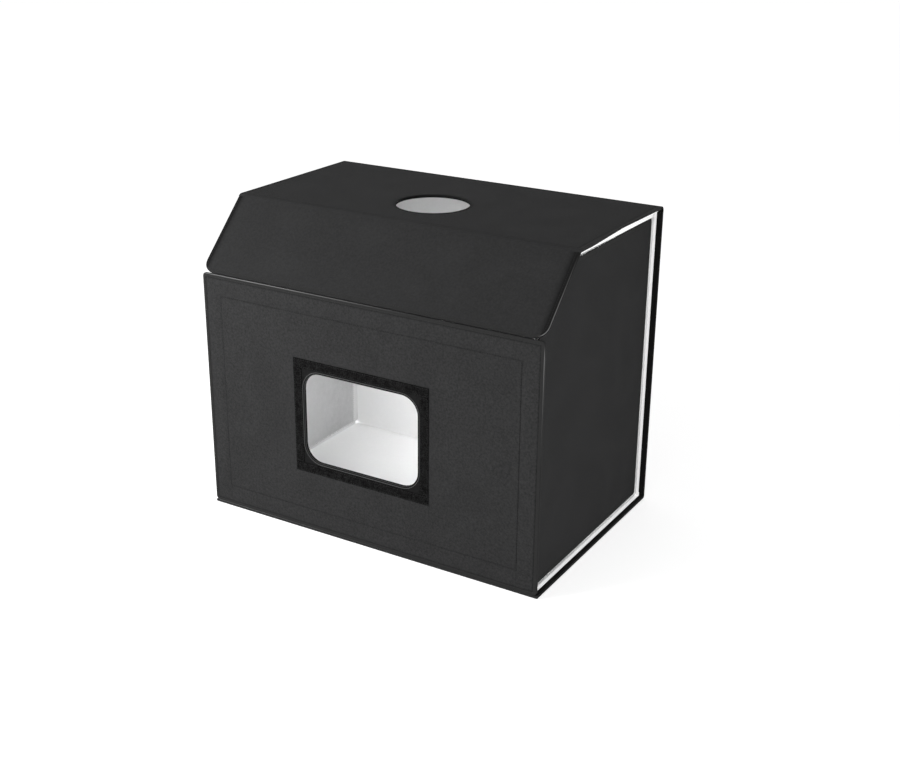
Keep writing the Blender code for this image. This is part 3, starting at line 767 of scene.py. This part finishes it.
def borderDistance(point, loops):
    nearest = 1.0
    for loop in loops:
        for a, b in zip(loop, loop[1:] + loop[:1]):
            along = b - a
            foot = a + along * share((point - a).dot(along) / along.length_squared)
            nearest = min(nearest, (point - foot).length)
    return nearest


def rectangle(low, high):
    return [Vector((low.x, low.y)), Vector((high.x, low.y)), Vector((high.x, high.y)),
            Vector((low.x, high.y))]


def lifted(panel, height):
    return planes[panel] @ Matrix.Translation((0, 0, height))


sheetValues = {"cell": 0.016, "tuck": 0.00042, "rings": (0.0012, 0.0026), "dip": 0.00024,
               "dipReach": 0.0030, "wave": 0.0005, "waveScale": 13.0, "calm": 0.03, "groove": 0.00035,
               "grooveReach": 0.0012}


def tuckedLoops(bm, loops, distance):
    # lets the sheet's rim out under the bindings' legs
    samePoint = 0.00002
    places = []
    for number, loop in enumerate(loops):
        places.append(grown(loop, distance if number == 0 else -distance))
        for old, new in zip(loop, places[-1]):
            for vert in bm.verts:
                if (vert.co.xy - old).length < samePoint:
                    vert.co.xy = new
                    break
    return places


def stretchedSheet(node, panel, look, slotName, body=None, inner=False, line=None,
                   changes=None):
    # a sheet pulled over its board: low waves, and dips at the binding and along a sewn line
    values = {**sheetValues, **(changes or {})}
    sign = -1 if inner else 1
    low, high = slab(node, panel)
    bm = flatCopy(node, panel)
    hidden = [f for f in bm.faces if f.normal.z * sign < faceOn]
    bmesh.ops.delete(bm, geom=hidden, context="FACES")
    loops = tuckedLoops(bm, flatLoops(node, panel, inner), values["tuck"])
    flatArea = sum(f.calc_area() for f in bm.faces)
    done = 0.0
    middle = bm.faces[:]
    for ring in values["rings"]:
        bmesh.ops.inset_region(bm, faces=middle, thickness=ring - done, use_even_offset=True,
                               use_boundary=True)
        done = ring
    if line:
        for axis in range(2):
            first, last = reach(loops[0], axis)
            for inset in (line - values["grooveReach"], line, line + values["grooveReach"]):
                cutAcross(bm, axis, first + inset)
                cutAcross(bm, axis, last - inset)
    cutGrid(bm, values["cell"])
    for vert in bm.verts:
        here = vert.co.xy
        border = borderDistance(here, loops)
        rise = -values["dip"] * max(1 - border / values["dipReach"], 0) ** 2
        wave = noise.noise(Vector((here.x, here.y, low.z)) * values["waveScale"])
        rise += values["wave"] * wave * min(border / values["calm"], 1)
        if line:
            off = abs(borderDistance(here, loops[:1]) - line)
            rise -= values["groove"] * max(1 - off / values["grooveReach"], 0)
        vert.co.z += sign * rise
    bmesh.ops.solidify(bm, geom=bm.faces, thickness=high.z - low.z)
    outOfPlane(bm, panel)
    bmesh.ops.recalc_face_normals(bm, faces=bm.faces)
    piece = standIn(bm, node, body or panel, slotName, look)
    (left, right), (bottom, top) = reach(loops[0], 0), reach(loops[0], 1)
    return piece


for panel in panels:
    stretchedSheet(panel + "_cover", panel, coverCloths[panel], "black_cloth",
                   line=frontSeam if panel == "front" else None)
linings = {}
for panel in panels:
    silver = panel.endswith("side")
    cloth = silverCloth if silver else baseWhiteCloth if panel == "base" else whiteCloth
    linings[panel] = stretchedSheet(panel + "_lining", panel, cloth,
                                    "silver_lining" if silver else "white_lining",
                                    inner=True)
skirtChanges = {"tuck": 0.0, "rings": (0.0008, 0.0016), "wave": 0.0012, "waveScale": 22.0,
                "calm": 0.004, "dip": 0.0}
for side in sides:
    stretchedSheet(side + "_skirt", side + "_side", whiteCloth, "white_lining",
                   body="top", changes=skirtChanges)
print("cloth stretched over the boards")


tapeValues = {"selvedge": 0.0014, "narrowShare": 0.2, "step": 0.0003, "bed": 0.55, "cell": 0.004,
              "uneven": 0.00016, "unevenScale": 160.0}


def pileTape(node, panel, look, inner=False, body=None):
    # a woven strip whose raised bed of loops or hooks stops short of its edges
    values = tapeValues
    low, high = slab(node, panel)
    sign = -1 if inner else 1
    back, depth = (high.z if inner else low.z), high.z - low.z
    bm = bmesh.new()
    bmesh.ops.create_grid(bm, x_segments=1, y_segments=1, size=0.5)
    bmesh.ops.scale(bm, verts=bm.verts, vec=(high.x - low.x, high.y - low.y, 1))
    bmesh.ops.translate(bm, verts=bm.verts, vec=((low.x + high.x) / 2, (low.y + high.y) / 2, 0))
    bed = bm.faces[:]
    selvedge = min(values["selvedge"], (high.x - low.x) * values["narrowShare"])
    for ring in (selvedge, values["step"]):
        bmesh.ops.inset_region(bm, faces=bed, thickness=ring, use_even_offset=True, use_boundary=True)
    cutGrid(bm, values["cell"])
    for vert in bm.verts:
        raised = borderDistance(vert.co.xy, [rectangle(low, high)]) > selvedge + values["step"] / 2
        rough = noise.noise(Vector((vert.co.x, vert.co.y, back)) * values["unevenScale"])
        rise = depth + rough * values["uneven"] if raised else depth * values["bed"]
        vert.co.z = back + sign * rise
    moved = bmesh.ops.extrude_edge_only(bm, edges=[e for e in bm.edges if e.is_boundary])["geom"]
    for vert in only(moved, bmesh.types.BMVert):
        vert.co.z = back
    bmesh.ops.holes_fill(bm, edges=[e for e in bm.edges if e.is_boundary], sides=0)
    outOfPlane(bm, panel)
    bmesh.ops.recalc_face_normals(bm, faces=bm.faces)
    standIn(bm, node, body or panel, "loop_tape", look)


def hingeTape(node):
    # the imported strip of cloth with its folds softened
    values = {"sharp": radians(40), "radius": 0.0002, "steps": 2}
    bm = mergedCopy(node)
    folds = [e for e in bm.edges if e.is_convex and e.calc_face_angle() > values["sharp"]]
    roundEdges(bm, folds, values["radius"], values["steps"])
    standIn(bm, node, "back", "white_lining", whiteCloth)


windowTapes = ["window_tape_" + edge for edge in ("top", "bottom", "left", "right")]
frontHookTapes = ["front_hook_tape_" + side for side in sides]
for node in windowTapes:
    pileTape(node, "front", loopTape)
for side in sides:
    pileTape(side + "_side_loop_tape", "front", loopTape, body=side + "_side")
    pileTape("front_hook_tape_" + side, "front", hookTape, inner=True)
pileTape("light_hook_tape", "flap", hookTape, inner=True)
pileTape("backdrop_loop_tape", "back", whiteLoopTape, inner=True)
for side in sides:
    hingeTape(side + "_hinge_tape")
print("tapes laid")


stitchValues = {"pitch": 0.0042, "length": 0.0031, "radius": 0.00030}


def pathThrough(name, points, closed):
    # a straight-lined curve drawn in a panel's plane
    curve = bpy.data.curves.new(name, "CURVE")
    spline = curve.splines.new("POLY")
    spline.points.add(len(points) - 1)
    for point, place in zip(spline.points, points):
        point.co = (place.x, place.y, 0, 1)
    spline.use_cyclic_u = closed
    return newObject(name, curve)


def laidMesh(item, matrix):
    # the mesh that an object's modifiers or its bevel give, laid on its panel
    bpy.context.view_layer.update()
    mesh = bpy.data.meshes.new_from_object(item.evaluated_get(bpy.context.evaluated_depsgraph_get()))
    mesh.transform(matrix)
    bpy.data.objects.remove(item, do_unlink=True)
    return mesh


def stitchMesh(pitch):
    values = stitchValues
    bm = bmesh.new()
    bmesh.ops.create_uvsphere(bm, u_segments=6, v_segments=4, radius=1)
    bmesh.ops.rotate(bm, verts=bm.verts, matrix=Matrix.Rotation(radians(90), 3, "Y"))
    bmesh.ops.scale(bm, verts=bm.verts, vec=(values["length"] / 2, values["radius"], values["radius"]))
    bmesh.ops.translate(bm, verts=bm.verts, vec=(pitch / 2, 0, 0))
    return meshFrom(bm, "stitch")


def sewnRow(points, closed, matrix):
    # one stitch repeated along a path, then laid on the panel
    ends = points[1:] + ([points[0]] if closed else [])
    length = sum((b - a).length for a, b in zip(points, ends))
    count = max(int(length / stitchValues["pitch"]), 1)
    path = pathThrough("row", points, closed)
    stitch = newObject("stitch", stitchMesh(length / count))
    array = stitch.modifiers.new("repeat", "ARRAY")
    array.count = count
    array.use_relative_offset = False
    array.use_constant_offset = True
    array.constant_offset_displace = (length / count, 0, 0)
    follow = stitch.modifiers.new("follow", "CURVE")
    follow.object = path
    follow.deform_axis = "POS_X"
    mesh = laidMesh(stitch, matrix)
    bpy.data.objects.remove(path, do_unlink=True)
    return mesh


def sewRows(name, body, rows, look):
    bm = bmesh.new()
    for points, closed, matrix in rows:
        bm.from_mesh(sewnRow(points, closed, matrix))
    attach(addPiece(name, meshFrom(bm, name), look), body)


inside = -panelDepth
fromLeg = 0.0015  # from the end of a binding's leg to its sewn row


def edgeRows(panel, loop, height):
    # rows through a binding's leg: round the panel, round three sides of the flap, or up two sides
    if panel in ("base", "back", "top"):
        (left, right), (bottom, top) = reach(loop, 0), reach(loop, 1)
        return [([Vector((x, bottom)), Vector((x, top))], False, lifted(panel, height))
                for x in (left - fromLeg, right + fromLeg)]
    loop = grown(loop, fromLeg)
    if panel != "flap":
        return [(loop, True, lifted(panel, height))]
    order = range(len(loop))
    cut = max(order, key=lambda i: min(loop[i].y, loop[(i + 1) % len(loop)].y))
    return [([loop[(cut + 1 + i) % len(loop)] for i in order], False, lifted(panel, height))]


for panel in ("front", "flap", "left_side", "right_side", "base", "back", "top"):
    rows = edgeRows(panel, flatLoops(panel + "_cover", panel)[0], 0.0)
    rows += edgeRows(panel, flatLoops(panel + "_lining", panel, True)[0], inside)
    sewRows(camelName(panel) + "EdgeStitches", panel, rows, blackThread)
print("edges sewn")

openingSeams = {"window": {"panel": "front", "inset": 0.0036}, "port": {"panel": "top", "inset": 0.0020}}
for opening, values in openingSeams.items():
    panel = values["panel"]
    loop = grown(flatLoops(panel + "_cover", panel)[1], -values["inset"])
    sewRows(opening + "Stitches", panel, [(loop, True, lifted(panel, n)) for n in (0.0, inside)], blackThread)


def laidPiping(name, body, loop):
    # a round cord sewn flat round an opening
    values = {"radius": 0.0004, "fromEdge": 0.0033, "height": 0.0002}
    path = pathThrough(name, grown(loop, values["fromEdge"]), True)
    path.data.dimensions = "3D"
    path.data.bevel_depth = values["radius"]
    path.data.bevel_resolution = 2
    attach(addPiece(name, laidMesh(path, lifted(body, values["height"])), pipingCloth), body)


laidPiping("windowPiping", "front", flatLoops("window_binding", "front")[1])
seamLoop = grown(flatLoops("front_cover", "front")[0], -frontSeam)
sewRows("frontPanelStitches", "front", [(seamLoop, True, lifted("front", 0.0))], blackThread)

tapeSeams = {
    "windowTapeStitches": {"panel": "front", "nodes": windowTapes, "inset": 0.0018, "thread": blackThread},
    "hookTapeStitches": {"panel": "front", "nodes": frontHookTapes, "inset": 0.0018, "thread": blackThread,
                         "inner": True},
    "backdropTapeStitches": {"panel": "back", "nodes": ["backdrop_loop_tape"], "inset": 0.0014,
                             "thread": whiteThread, "inner": True},
}
for name, values in tapeSeams.items():
    rows = []
    for node in values["nodes"]:
        low, high = slab(node, values["panel"])
        height = low.z if "inner" in values else high.z
        rows.append((grown(rectangle(low, high), -values["inset"]), True, lifted(values["panel"], height)))
    sewRows(name, values["panel"], rows, values["thread"])
print("tapes and openings sewn")


def carriedOn(bm, edges, way):
    # extrudes edges and moves the new ones
    moved = bmesh.ops.extrude_edge_only(bm, edges=edges)["geom"]
    verts = only(moved, bmesh.types.BMVert)
    bmesh.ops.translate(bm, verts=verts, vec=way)
    return verts + only(moved, bmesh.types.BMEdge)


def bentCloth(name, values, node=None):
    # two points across the box, spun round the fold and carried on flat to each panel
    centre = Vector((0, *values["centre"]))
    first, last = [radians(angle) for angle in values["angles"]]
    begin, finish = Vector((0, cos(first), sin(first))), Vector((0, cos(last), sin(last)))
    way = copysign(values["onto"], last - first)
    start, end = centre + begin * values["radius"], centre + finish * values["radius"]
    onward = Vector((0, -begin.z, begin.y)) * way
    bm = bmesh.new()
    line = [bm.verts.new(start - onward + Vector((x, 0, 0))) for x in values["across"]]
    row = carriedOn(bm, [bm.edges.new(line)], onward)
    spun = bmesh.ops.spin(bm, geom=row, cent=centre, axis=(1, 0, 0), angle=last - first, steps=8,
                          use_merge=False)
    lastRow = only(spun["geom_last"], bmesh.types.BMEdge)
    carriedOn(bm, lastRow, Vector((0, -finish.z, finish.y)) * way)
    bmesh.ops.remove_doubles(bm, verts=bm.verts, dist=weldGap)
    bmesh.ops.recalc_face_normals(bm, faces=bm.faces)
    bm.faces.ensure_lookup_table()
    crest = bm.faces[0]
    if crest.normal.dot(crest.calc_center_median() - centre) < 0:
        bmesh.ops.reverse_faces(bm, faces=bm.faces)
    bmesh.ops.solidify(bm, geom=bm.faces, thickness=values["thickness"])
    bmesh.ops.recalc_face_normals(bm, faces=bm.faces)
    piece = addPiece(name, meshFrom(bm, name), values["look"])
    if node:
        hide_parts(node)
    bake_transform(piece)


baseRadius, topRadius = [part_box(node)[1].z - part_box(node)[0].z for node in ("front_fold", "top_fold")]
flapRadius = 0.010
flapCentreY = kinkY + flapRadius * tan(flapTurn / 2)
# each fold is thick enough for its ends to hide the boards
folds = {
    "front_fold": {"bodies": ("base", "front"), "centre": (frontY + baseRadius, baseRadius),
                   "radius": baseRadius, "angles": (270, 180), "thickness": 0.0045, "look": coverCloth},
    "back_fold": {"bodies": ("base", "back"), "centre": (backY - baseRadius, baseRadius),
                  "radius": baseRadius, "angles": (-90, 0), "thickness": 0.0045, "look": coverCloth},
    "top_fold": {"bodies": ("back", "top"), "centre": (backY - topRadius, topZ - topRadius),
                 "radius": topRadius, "angles": (0, 90), "thickness": 0.0080, "look": darkFoldCloth},
    "flap_fold": {"bodies": ("top", "flap"), "centre": (flapCentreY, topZ - flapRadius),
                  "radius": flapRadius, "angles": (90, 90 + flapSlope), "thickness": 0.0044,
                  "look": coverCloth},
}
for node, values in folds.items():
    across = [corner.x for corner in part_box(node)]
    bentCloth(camelName(node), {**values, "across": across, "onto": 0.0008, "slot": "black_cloth"}, node)

# a white strip inside the corner of bottom and back, from lining to lining
stripCorner = 0.0025
bentCloth("backInnerStrip", {
    "bodies": ("base", "back"), "angles": (-90, 0), "radius": 0.0018, "thickness": 0.0006, "onto": 0.003,
    "centre": (backY - panelDepth - stripCorner, panelDepth + stripCorner), "look": whiteCloth,
    "across": [corner.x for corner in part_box("base_lining")], "slot": "white_lining"})
print("folds made")


def shaderNode(tree, kind, values):
    node = tree.nodes.new("ShaderNode" + kind)
    for label, value in values.items():
        plug(tree, value, node.inputs[label])
    return node.outputs[0]


def shownWhite(tree, plain, white, outputKind):
    # camera, glossy and transmission rays see the white and all others the plain one
    path = tree.nodes.new("ShaderNodeLightPath")
    seen = calc(tree, "MAXIMUM", path.outputs["Is Camera Ray"], path.outputs["Is Glossy Ray"])
    seen = calc(tree, "MAXIMUM", seen, path.outputs["Is Transmission Ray"])
    pick = shaderNode(tree, "MixShader", {0: seen, 1: plain, 2: white})
    tree.links.new(pick, tree.nodes.new(outputKind).inputs["Surface"])


def makeFloor():
    # the lamps' light on the floor and its own glow add up to white, and the object's shadow stays
    values = {"size": 40.0, "below": 0.0004, "bounce": 0.8, "shadowShare": 0.8, "lampLevel": 0.45}
    bm = bmesh.new()
    bmesh.ops.create_grid(bm, x_segments=1, y_segments=1, size=values["size"] / 2)
    bmesh.ops.translate(bm, verts=bm.verts, vec=(0, 0, -values["below"]))
    floor = newObject("floor", meshFrom(bm, "floor"))
    look = bpy.data.materials.new("paleFloor")
    look.use_nodes = True
    tree = look.node_tree
    tree.nodes.clear()
    paper = shaderNode(tree, "BsdfDiffuse", {"Color": (*grey(values["bounce"]), 1)})
    lit = shaderNode(tree, "BsdfDiffuse", {"Color": (*grey(values["shadowShare"]), 1)})
    glow = shaderNode(tree, "Emission", {"Strength": 1.0 - values["shadowShare"] * values["lampLevel"]})
    shownWhite(tree, paper, shaderNode(tree, "AddShader", {0: lit, 1: glow}), "ShaderNodeOutputMaterial")
    floor.data.materials.append(look)


def makeWorld():
    # white to the eye, and a soft light that is strongest at the horizon
    values = {"ambient": 0.70, "zenith": 0.48}
    world = bpy.data.worlds.new("studio")
    bpy.context.scene.world = world
    world.use_nodes = True
    tree = world.node_tree
    tree.nodes.clear()
    place = tree.nodes.new("ShaderNodeTexCoord").outputs["Generated"]
    height = calc(tree, "MAXIMUM", split(tree, place)[2], 0.0)
    fall = calc(tree, "MULTIPLY_ADD", height, values["zenith"] - 1, 1.0)
    strength = calc(tree, "MULTIPLY", fall, values["ambient"])
    room = shaderNode(tree, "Background", {"Color": (1, 1, 1, 1), "Strength": strength})
    white = shaderNode(tree, "Background", {"Color": (1, 1, 1, 1)})
    shownWhite(tree, room, white, "ShaderNodeOutputWorld")


def makeLamp(name, values):
    data = bpy.data.lights.new(name, "AREA")
    data.shape = "RECTANGLE"
    data.size, data.size_y = values["size"]
    data.energy = values["power"]
    data.spread = values.get("spread", radians(180))
    return newObject(name, data)


def makeStudioLamp(name, values):
    lamp = makeLamp(name, values)
    lamp.location = values["place"]
    lamp.rotation_euler = (Vector(values["aim"]) - lamp.location).to_track_quat("-Z", "Y").to_euler()


def makeTentLamp():
    # the light of the rows of chips, under the diffuser and carried by the flap
    low, high = slab("light_diffuser", "flap")
    values = {"size": (high.x - low.x, 0.04), "power": 0.69, "spread": radians(82), "below": 0.0015}
    lamp = makeLamp("tentLamp", values)
    place = (0, (low.y + high.y) / 2, low.z - values["below"])
    lamp.matrix_world = planes["flap"] @ Matrix.Translation(place)
    lamp.parent = linings["flap"]
    lamp.visible_camera = False


def makeCamera():
    # fitted to the photographed box's corners; the picture is 900 by 765
    values = {"place": (1.10547, -1.78654, 1.0555), "turn": (1.19248, -0.00754, 0.54263),
              "focalPixels": 1340.16, "widePixels": 900, "sensor": 36.0}
    data = bpy.data.cameras.new("camera")
    data.sensor_width = values["sensor"]
    data.lens = values["focalPixels"] / values["widePixels"] * values["sensor"]
    camera = newObject("camera", data)
    camera.location = values["place"]
    camera.rotation_euler = values["turn"]
    bpy.context.scene.camera = camera


makeFloor()
makeWorld()
makeStudioLamp("keyLamp", {"size": (0.9, 0.9), "power": 36.0, "place": (-1.15, -1.35, 0.9),
                           "aim": (0, 0, 0.25)})
makeStudioLamp("fillLamp", {"size": (0.9, 0.6), "power": 10.3, "place": (1.65, -0.9, 0.42),
                            "aim": (0.3, 0, 0.25)})
makeTentLamp()
makeCamera()
bpy.context.scene.view_settings.view_transform = "Standard"

print("scene ready")
